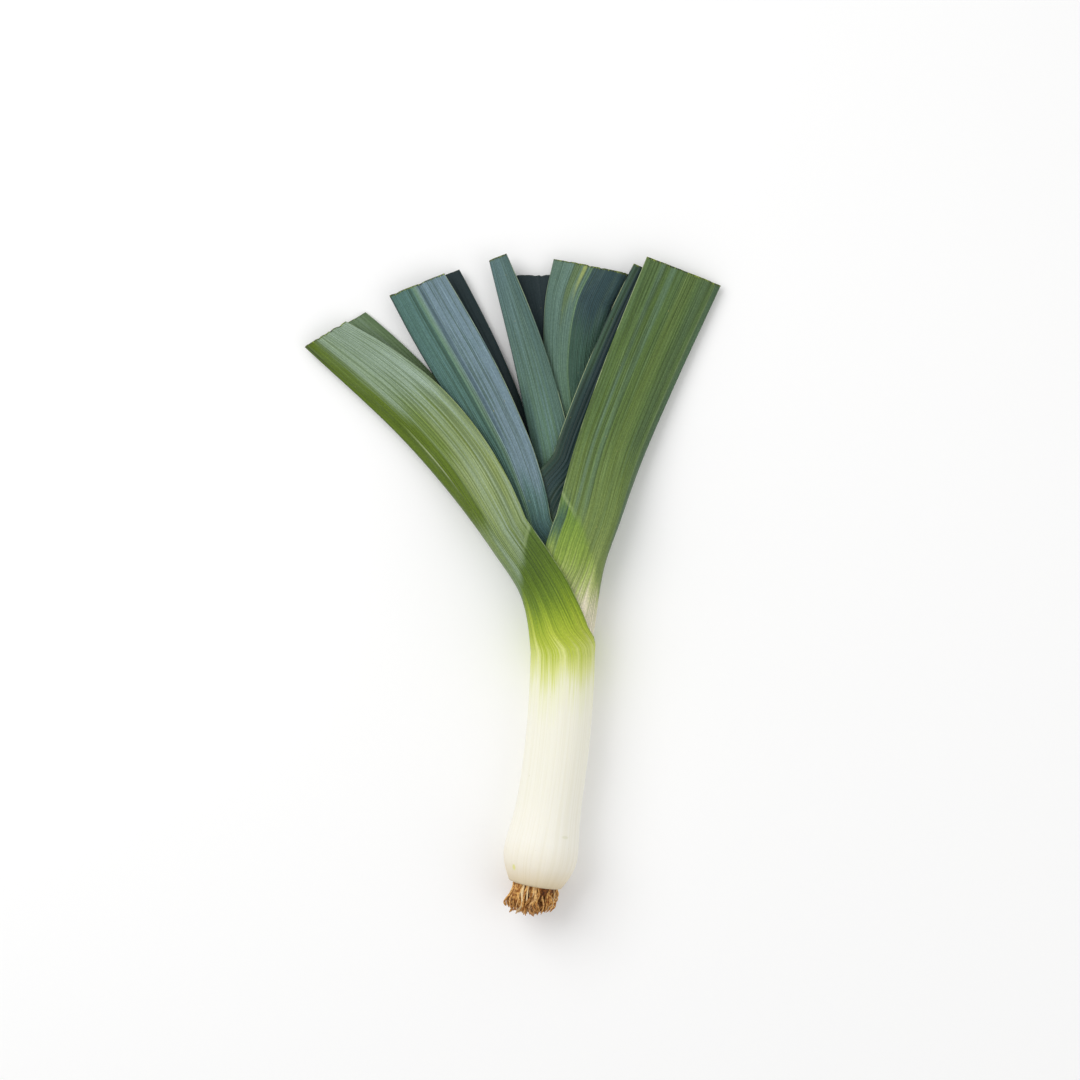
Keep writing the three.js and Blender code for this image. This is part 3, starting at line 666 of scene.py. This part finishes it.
class LeafShader(Shader):
    """One leaf's material: mesh attributes, noises drawn out along the veins, and layers of colour."""

    def __init__(self, name, look, seed):
        super().__init__(name)
        self.look, self.seed = look, seed
        self.along, self.vein, self.across = self.read("along"), self.read("vein"), self.read("across")
        self.blade, self.edge, self.cut = self.read("blade"), self.read("edge"), self.read("cut")
        self.inside = self.read("inside")
        # The veins lie on a ring, so that a closed sheath has no seam.
        self.turn = self.sum("MULTIPLY", self.vein, math.pi / VEINS)
        radius = VEINS / math.pi
        self.ring = [self.sum("MULTIPLY", self.sum(way, self.turn), radius) for way in ("COSINE", "SINE")]
        self.grain = {key: self.streak(*values) for key, values in GRAINS.items()}
        self.green = self.span(self.along, *GREENING)

    def streak(self, width, length, step, detail):
        x, y = (self.sum("DIVIDE", c, width) for c in self.ring)
        z = self.sum("ADD", self.sum("DIVIDE", self.along, length), self.seed + step)
        return self.noise(self.vector(x, y, z), 1.0, detail)

    def wander(self):
        """The distance along the leaf, moved so that the fade starts higher on some veins than on others."""
        shift = 0.0
        for key, amount in FADE_SHIFTS.items():
            shift = self.sum("MULTIPLY_ADD", self.sum("SUBTRACT", self.grain[key], 0.5), amount, shift)
        return self.sum("MULTIPLY_ADD", shift, self.span(self.along, 10, 110, 0.04, 1.0), self.along)

    def run(self, name, wander):
        """One of the look's ramps, laid along the leaf."""
        stops = [(mm / RAMP_LENGTH, colour) for mm, colour in self.look[name]]
        return self.ramp(self.sum("DIVIDE", wander, RAMP_LENGTH), stops)

    def wax(self):
        """The share of wax bloom, which lies in long streaks."""
        share = self.span(self.grain["middle"], 0.4, 0.64, 0.0, 0.55)
        share = self.sum("ADD", share, self.span(self.grain["broad"], 0.45, 0.65, 0.0, 0.3))
        share = self.sum("ADD", share, self.span(self.grain["fine"], 0.45, 0.6, 0.0, 0.3))
        return self.sum("MULTIPLY", share, self.span(self.grain["patch"], 0.3, 0.6, 0.55, 1.0))

    def skin(self, wander, wax):
        """The sheath up to the ligule, then the waxy blade with its keel."""
        look = self.look
        share = self.sum("MULTIPLY", wax, look["wax_amount"], clamp=True)
        body = self.mix(share, self.run("blade", wander), linear(look["wax"]))
        keel = self.span(self.sum("ABSOLUTE", self.vein), 0.6, 3.0, 0.8, 0.0)
        keel = self.sum("MULTIPLY", keel, self.span(self.grain["fine"], 0.35, 0.65, 0.5, 1.0))
        body = self.mix(keel, body, linear(look["keel"]))
        past_ligule = self.span(self.sum("MULTIPLY_ADD", self.grain["middle"], 9.0, self.blade), 1.0, 9.0)
        return self.mix(past_ligule, self.run("sheath", wander), body)

    def bands(self, colour, wander):
        for centre, half, soft, tint, strength, (first, last) in self.look["bands"]:
            wobble = self.sum("MULTIPLY_ADD", self.grain["middle"], soft, self.vein)
            off = self.sum("ABSOLUTE", self.sum("SUBTRACT", wobble, centre + 0.5 * soft))
            within = self.span(off, half, half + soft, strength, 0.0)
            start = self.span(wander, first, first + BAND_FADE)
            reach = self.sum("MULTIPLY", start, self.span(wander, last, last - BAND_FADE))
            grain = self.sum("ADD", self.grain["fine"], self.grain["patch"])
            broken = self.sum("MULTIPLY", reach, self.span(grain, 0.72, 1.05, 0.6, 1.0))
            colour = self.mix(self.sum("MULTIPLY", within, broken), colour, linear(tint))
        return colour

    def veins(self, colour):
        """Fine dark and light lines that run the whole length, faint where the leaf is white."""
        shade = self.mix(self.green, VEIN_SHADE_WHITE, VEIN_SHADE_GREEN)
        dark = self.mix(1.0, colour, shade, "MULTIPLY")
        colour = self.mix(self.span(self.grain["fine"], 0.54, 0.38, 0.0, 0.9), colour, dark)
        light = self.mix(1.0, self.mix(1.0, colour, THREAD_GAIN, "MULTIPLY"), THREAD_LIFT, "ADD")
        threads = self.span(self.grain["hair"], 0.56, 0.7, 0.0, self.look.get("threads", THREADS))
        return self.mix(self.sum("MULTIPLY", threads, self.green), colour, light)

    def edges(self, colour):
        """A soft crease at the ligule near the margin, thin pale edges, and streaky fibres at the cut."""
        crease = self.span(self.sum("ABSOLUTE", self.blade), 0.3, 2.4, 0.32, 0.0)
        crease = self.sum("MULTIPLY", crease, self.span(self.edge, 16, 4))
        colour = self.mix(self.sum("MULTIPLY", crease, self.green), colour, linear(CREASE_TINT))
        hem = self.span(self.edge, 0.15, 0.55, 0.55, 0.0)
        hem = self.sum("MULTIPLY", hem, self.span(self.grain["patch"], 0.42, 0.55))
        colour = self.mix(self.sum("MULTIPLY", hem, self.green), colour, linear(HEM_TINT))
        torn = self.span(self.sum("MULTIPLY_ADD", self.grain["middle"], 1.2, self.cut), 0.9, 1.9, 0.9, 0.0)
        fibre = self.mix(self.span(self.grain["hair"], 0.5, 0.64), linear(FIBRE_DARK), linear(FIBRE_BRIGHT))
        return self.mix(torn, colour, fibre)

    def lining_and_shade(self, colour):
        """The inner skin takes a tint past the shaft: partly its own colour, partly painted shade of the gap
        between the halves.
        """
        tint, amount = self.look["lining_and_shade"]
        past_shaft = self.span(self.along, 150, 230, 0.0, amount)
        return self.mix(self.sum("MULTIPLY", self.inside, past_shaft), colour, linear(tint))

    def speckle(self, across, along, step, detail):
        """Small round noise on the skin."""
        x, y = self.sum("DIVIDE", self.across, across), self.sum("DIVIDE", self.along, along)
        return self.noise(self.vector(x, y, self.seed + step), 1.0, detail)

    def flecks(self, colour):
        """A finely mottled bloom, and a few small brown and straw flecks."""
        mottle = self.span(self.speckle(0.8, 1.1, 0.0, 3.0), 0.4, 0.64)
        paler = self.mix(1.0, colour, MOTTLE_GAIN, "MULTIPLY")
        colour = self.mix(self.sum("MULTIPLY", mottle, self.green), colour, paler)
        fleck = self.span(self.speckle(1.8, 3.4, 23.0, 2.0), 0.75, 0.8, 0.0, 0.5)
        return self.mix(fleck, colour, linear(FLECK_TINT))

    def marks(self, colour):
        for mm, veins, length, width, tint, strength in self.look.get("marks", ()):
            far = self.sum("DIVIDE", self.sum("SUBTRACT", self.along, mm), length)
            aside = self.sum("DIVIDE", self.sum("SUBTRACT", self.vein, veins), width)
            away = self.sum("MULTIPLY_ADD", far, far, self.sum("MULTIPLY", aside, aside))
            colour = self.mix(self.span(away, 1.0, 0.1, 0.0, strength), colour, linear(tint))
        return colour

    def relief(self):
        """Ribs along the veins over softer, broader swells."""
        ridge = self.sum("MULTIPLY_ADD", self.grain["middle"], 5.0, self.sum("MULTIPLY", self.turn, RIBS))
        swell = self.sum("MULTIPLY", self.grain["broad"], 1.6)
        swell = self.sum("MULTIPLY_ADD", self.grain["fine"], 1.1, swell)
        return self.sum("MULTIPLY_ADD", self.sum("SINE", ridge), 0.3, swell)


def leaf_material(name, look, seed):
    """Parallel-veined leaf: a pale sheath that greens up the shaft, then a waxy blade."""
    s = LeafShader(name, look, seed)
    wander, wax = s.wander(), s.wax()
    colour = s.bands(s.skin(wander, wax), wander)
    colour = s.lining_and_shade(s.edges(s.veins(colour)))
    colour = s.marks(s.flecks(colour))
    roughness = s.sum("MULTIPLY_ADD", s.grain["patch"], 0.24, s.span(wax, 0.0, 0.8, 0.36, 0.46))
    bump = s.span(s.along, 110, 175, 0.12, 0.5)
    return s.finish(colour, roughness, s.relief(), bump, RELIEF, LEAF_SPECULAR, LEAF_SUBSURFACE)


# Some strands are tinted cream and some dark brown: partly the roots' own mix of colours, partly painted
# highlight and painted shade for the lit strands and the dark gaps between them.
ROOT_CREAM_AND_HIGHLIGHT, ROOT_BROWN_AND_SHADE, ROOT_END, ROOT_DIRT = (236, 212, 164), (98, 50, 16), (140, 84, 34), (84, 48, 20)
ROOT_DARK, ROOT_LIGHT, CRUST_DARK, CRUST_LIGHT = (150, 88, 34), (234, 184, 108), (64, 32, 10), (128, 76, 30)
ROOT_RELIEF, ROOT_SPECULAR = 0.0003, 0.25


def root_material(name, dark, light, seed):
    """Dry, fibrous tan, browner towards the cut ends and in the grain, with some pale strands that are partly
    painted highlight and some dark ones that are partly painted shade.
    """
    s = Shader(name)
    along, tone = s.read("along"), s.read("tone")
    where = s.make("ShaderNodeTexCoord", "Object")
    grain = s.noise(where, 700.0, 4.0)
    speck = s.noise(where, 2200.0 + seed, 2.0)
    colour = s.mix(s.span(grain, 0.35, 0.62), linear(dark), linear(light))
    # Pale strands: partly painted highlight. Dark strands: partly painted shade.
    colour = s.mix(s.span(tone, 0.1, 1.0, 0.0, 0.9), colour, linear(ROOT_CREAM_AND_HIGHLIGHT))
    colour = s.mix(s.span(tone, -0.2, -1.0, 0.0, 0.8), colour, linear(ROOT_BROWN_AND_SHADE))
    colour = s.mix(s.span(along, 9, 17, 0.0, 0.45), colour, linear(ROOT_END))
    colour = s.mix(s.span(speck, 0.6, 0.7, 0.0, 0.6), colour, linear(ROOT_DIRT))
    return s.finish(colour, s.span(grain, 0, 1, 0.6, 0.9), grain, 0.5, ROOT_RELIEF, ROOT_SPECULAR)


FLOOR_GAP = 0.02
SEED_STEP = 31.7


def place_in_frame(arrays):
    """Where the leaves' own axes lie in the frame: the median step from their boxes to the CAD boxes."""
    steps = []
    for leaf, (points, *_) in zip(LEAVES, arrays):
        low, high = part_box(leaf["name"])
        middle = (points.min(0) + points.max(0)) / 2
        steps.append(np.array((low + high) / 2) / MM - middle)
    return np.median(steps, axis=0)


def make_leaves():
    arrays = [leaf_arrays(leaf, index) for index, leaf in enumerate(LEAVES)]
    shift = place_in_frame(arrays)
    for index, (leaf, (points, faces, attributes, uv, weld)) in enumerate(zip(LEAVES, arrays)):
        moved = points + shift
        moved[:, 2] = np.maximum(moved[:, 2], FLOOR_GAP)
        piece = make_mesh(f"leaf_{index + 1}", moved, faces, attributes, uv, weld)
        piece.data.materials.append(leaf_material(leaf["name"], LOOKS[leaf["name"]], SEED_STEP * index))
        finish_piece(piece, "leaf_outer" if index < 2 else "leaf_inner", leaf["name"])


def finish_piece(piece, slot, *nodes):
    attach(piece, "root")
    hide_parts(*nodes)


SIDE_SHARE, SIDE_HEIGHT, CAP_AT, CAP_SIZE = 0.92, 0.95, 0.96, (0.03, 0.2)


def capped_rings(rings, sides, base, low, span):
    """Faces round a stack of rings with a flat cap at each end, and their corners in the bake map.

    low and span are the rectangle of the bake map that they get. The caps lie in a strip at its far end.
    """
    last = rings - 1
    turn = np.arange(sides) / sides * 2 * math.pi
    faces, corners = [], []
    for i in range(last):
        for j in range(sides):
            a, b = base + i * sides + j, base + i * sides + (j + 1) % sides
            faces.append([b, a, a + sides, b + sides])
            near, far = SIDE_SHARE * i / last, SIDE_SHARE * (i + 1) / last
            under, over = j / sides, (j + SIDE_HEIGHT) / sides
            corners += [(near, over), (near, under), (far, under), (far, over)]
    for ring, middle, way in ((0, 0.25, 1), (last, 0.75, -1)):
        faces.append([base + ring * sides + j for j in range(sides)][::way])
        disc = np.stack([CAP_AT + CAP_SIZE[0] * np.cos(turn), middle + CAP_SIZE[1] * np.sin(turn)], axis=1)
        corners += [tuple(c) for c in disc[::way]]
    return faces, np.array(low) + np.array(corners) * span


# A direction that no strand runs along, to turn the rings by.
RING_REFERENCE = (0.3, 0.1, 0.95)


def tube(path, radius, sides):
    """Rings along a path, with a radius for each point."""
    rings = []
    for i, p in enumerate(path):
        ahead = unit(path[min(i + 1, len(path) - 1)] - path[max(i - 1, 0)])
        side = unit(np.cross(ahead, RING_REFERENCE))
        other = np.cross(side, ahead)
        turn = np.arange(sides) / sides * 2 * math.pi
        rings.append(p + radius[i] * (np.cos(turn)[:, None] * side + np.sin(turn)[:, None] * other))
    return np.vstack(rings)


STRAND_RINGS, STRAND_WAVES, STRAND_SWAY = 18, 3, 0.9
STRAND_TAPER, STRAND_KNOBS, CUT_TAPER = 0.35, 0.14, 0.5


def strand(rng, start, end, thick):
    """A wavy root that tapers a little from start to end: its path, radii and distance along."""
    t = np.linspace(0, 1, STRAND_RINGS)
    path = start + np.outer(t, end - start)
    for _ in range(STRAND_WAVES):
        sway = rng.normal(0, STRAND_SWAY, 3) * (1.0, 0.2, 0.6)
        path = path + np.outer(np.sin(t * rng.uniform(3, 10) + rng.uniform(0, 6)) * t, sway)
    radius = thick * (1 - STRAND_TAPER * t) * (1 + STRAND_KNOBS * np.sin(t * 23 + rng.uniform(0, 6)))
    radius[-1] *= CUT_TAPER
    run = np.concatenate([[0], np.cumsum(np.linalg.norm(np.diff(path, axis=0), axis=1))])
    return path, radius, run


ROOT_SIDES = 7
STRAND_RADII = (0.85, 0.75, 0.68, 0.62, 0.58, 0.52, 0.46, 0.36)
CROWN_DEPTH, CROWN_SPREAD, END_SPREAD, END_RISE = 4.5, 1.8, 1.5, 1.2
TUFT_REACH, TUFT_ROUND, TUFT_LEAN = 15.2, 0.016, 4
CLUMP, CLUMP_ACROSS, CLUMP_ALONG = 1.3, 0.5, 0.38
ROOT_CLEARANCE = 1.0
PLATE_SHARE = 0.86
FIRST_ROOT_SEED = 100


def plate_frame():
    """The basal plate's middle and radius, and the directions up the shaft and across it."""
    low, high = (np.array(c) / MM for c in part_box("basal_plate"))
    up_shaft = SHAFT.along(0)
    return (low + high) / 2, PLATE_SHARE * (high[2] - low[2]) / 2, up_shaft, unit(np.cross(up_shaft, UP))


def tuft_strand(rng, number, thick, low, high, plate):
    """One strand of the tuft that a CAD root box stands for. The first goes the whole way."""
    heart, radius, up_shaft, side = plate
    crown = np.array([(low[0] + high[0]) / 2, high[1] + CROWN_DEPTH, (low[2] + high[2]) / 2])
    crown += rng.normal(0, CROWN_SPREAD, 3) * (1, 0.2, 1) * (number > 0)
    beside = crown - heart - ((crown - heart) @ up_shaft) * up_shaft
    crown -= beside * max(0, 1 - radius / np.linalg.norm(beside))
    far = rng.uniform(0.8, 1.0) if number else 1.0
    aside = (crown - heart) @ side
    depth = far * (TUFT_REACH - TUFT_ROUND * (aside + TUFT_LEAN) ** 2)
    end = heart + aside * side - depth * up_shaft + rng.normal(0, END_SPREAD, 3) * (1, 0, 0)
    end[2] = crown[2] + rng.normal(0, END_RISE)
    path, radii, run = strand(rng, crown, end, thick * rng.uniform(0.85, 1.15))
    path[:, 0] += CLUMP * np.sin(CLUMP_ACROSS * crown[0] + CLUMP_ALONG * run) * run / TUFT_REACH
    path[:, 2] = np.maximum(path[:, 2], ROOT_CLEARANCE)
    return path, radii, run


def make_roots():
    """Each CAD root becomes a group of wavy strands, thick and fine."""
    material = root_material("root_fibre", ROOT_DARK, ROOT_LIGHT, 11)
    plate = plate_frame()
    names = sorted(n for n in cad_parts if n.startswith("root_"))
    share = 1 / len(STRAND_RADII)
    for number, node in enumerate(names):
        rng = np.random.default_rng(FIRST_ROOT_SEED + number)
        low, high = (np.array(c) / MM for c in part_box(node))
        points, faces, along, tone, uvs = [], [], [], [], []
        for k, thick in enumerate(STRAND_RADII):
            path, radii, run = tuft_strand(rng, k, thick, low, high, plate)
            base = k * STRAND_RINGS * ROOT_SIDES
            corner, span = (0.01, 0.01 + 0.98 * share * k), (0.98, 0.94 * share)
            skin, corners = capped_rings(STRAND_RINGS, ROOT_SIDES, base, corner, span)
            faces += skin
            uvs.append(corners)
            points.append(tube(path, radii, ROOT_SIDES))
            along.append(np.repeat(run, ROOT_SIDES))
            shade = rng.uniform(-1, 1)
            tone.append(np.full(STRAND_RINGS * ROOT_SIDES, shade * abs(shade) ** 0.7))
        attributes = dict(along=np.concatenate(along), tone=np.concatenate(tone))
        name = f"root_strands_{number + 1:02d}"
        piece = make_mesh(name, np.vstack(points), faces, attributes, np.vstack(uvs))
        piece.data.materials.append(material)
        finish_piece(piece, "root", node)


PLATE_DOME, PLATE_BACK, PLATE_SET_BACK = 9.0, 2.0, 1.5
PLATE_RINGS, PLATE_SIDES = 40, 64


def make_plate():
    """The basal plate: a low, lumpy disc of old root scars, inside the foot of the sheaths."""
    middle, radius, along, side = plate_frame()
    turn = np.arange(PLATE_SIDES) / PLATE_SIDES * 2 * math.pi
    points = []
    for angle in np.linspace(0.03, 0.97, PLATE_RINGS) * math.pi:
        reach = radius * math.sin(angle)
        depth = (PLATE_DOME if angle < math.pi / 2 else PLATE_BACK) * math.cos(angle) - PLATE_SET_BACK
        lump = 1 + 0.05 * np.sin(5 * turn + 2 * angle) + 0.03 * np.sin(13 * turn)
        rough = 0.35 * np.sin(17 * turn + 6 * angle) * np.sin(15 * angle + 3 * turn)
        x, y = reach * lump * np.cos(turn), reach * lump * np.sin(turn)
        points.append(middle + np.outer(x, side) + np.outer(y, UP) - np.outer(depth + rough, along))
    faces, uv = capped_rings(PLATE_RINGS, PLATE_SIDES, 0, (0.01, 0.01), (0.98, 0.98))
    plain = np.zeros(PLATE_RINGS * PLATE_SIDES)
    piece = make_mesh("basal_disc", np.vstack(points), faces, dict(along=plain, tone=plain), uv)
    piece.data.materials.append(root_material("basal_crust", CRUST_DARK, CRUST_LIGHT, 5))
    finish_piece(piece, "root", "basal_plate")


def area_light(name, where, size, power):
    """A soft square light that points at the middle of the table."""
    light = bpy.data.lights.new(name, "AREA")
    light.shape, light.size, light.energy = "SQUARE", size, power
    lamp = bpy.data.objects.new(name, light)
    bpy.context.scene.collection.objects.link(lamp)
    lamp.location = where
    lamp.rotation_euler = (-Vector(where)).to_track_quat("-Z", "Y").to_euler()
    return lamp


# Stage, in metres and watts.
TABLE_SIZE, TABLE_GAP, TABLE_COLOUR, TABLE_ROUGHNESS = 8, 0.0004, (0.97, 0.97, 0.968, 1), 0.8
KEY_AT, KEY_SIZE, KEY_POWER = (-0.9, 0.7, 1.3), 1.3, 15
FILL_AT, FILL_SIZE, FILL_POWER = (1.2, -0.4, 1.1), 1.6, 5
ROOM_COLOUR, ROOM_STRENGTH = (1, 1, 1, 1), 0.62
SENSOR, CAMERA_HEIGHT, LEEK_MIDDLE, VIEW_WIDTH = 36, 1.5, 0.02, 0.626
AIM_RIGHT, AIM_UP = 0.016, 0.025


def make_stage():
    """A pale table, a big soft light from the upper left, a weak fill and a bright room."""
    bpy.ops.mesh.primitive_plane_add(size=TABLE_SIZE, location=(0, 0, CAD_LOW.z - TABLE_GAP))
    floor = bpy.context.object
    floor.name = "table_top"
    s = Shader("pale_table")
    s.surface.inputs["Base Color"].default_value = TABLE_COLOUR
    s.surface.inputs["Roughness"].default_value = TABLE_ROUGHNESS
    floor.data.materials.append(s.material)
    area_light("key", KEY_AT, KEY_SIZE, KEY_POWER)
    area_light("fill", FILL_AT, FILL_SIZE, FILL_POWER)
    world = bpy.data.worlds.new("room")
    world.use_nodes = True
    world.node_tree.nodes["Background"].inputs["Color"].default_value = ROOM_COLOUR
    world.node_tree.nodes["Background"].inputs["Strength"].default_value = ROOM_STRENGTH
    bpy.context.scene.world = world


def make_camera():
    """Straight above, with the leek a little left of and below the middle of the picture."""
    lens = bpy.data.cameras.new("camera")
    lens.sensor_width = SENSOR
    lens.lens = SENSOR * (CAMERA_HEIGHT - LEEK_MIDDLE) / VIEW_WIDTH
    camera = bpy.data.objects.new("camera", lens)
    bpy.context.scene.collection.objects.link(camera)
    centre = (CAD_LOW + CAD_HIGH) / 2
    camera.location = (centre.x + AIM_RIGHT, centre.y + AIM_UP, CAMERA_HEIGHT)
    bpy.context.scene.camera = camera


make_leaves()
make_plate()
make_roots()
make_stage()
make_camera()
bpy.context.scene.view_settings.view_transform = "Standard"
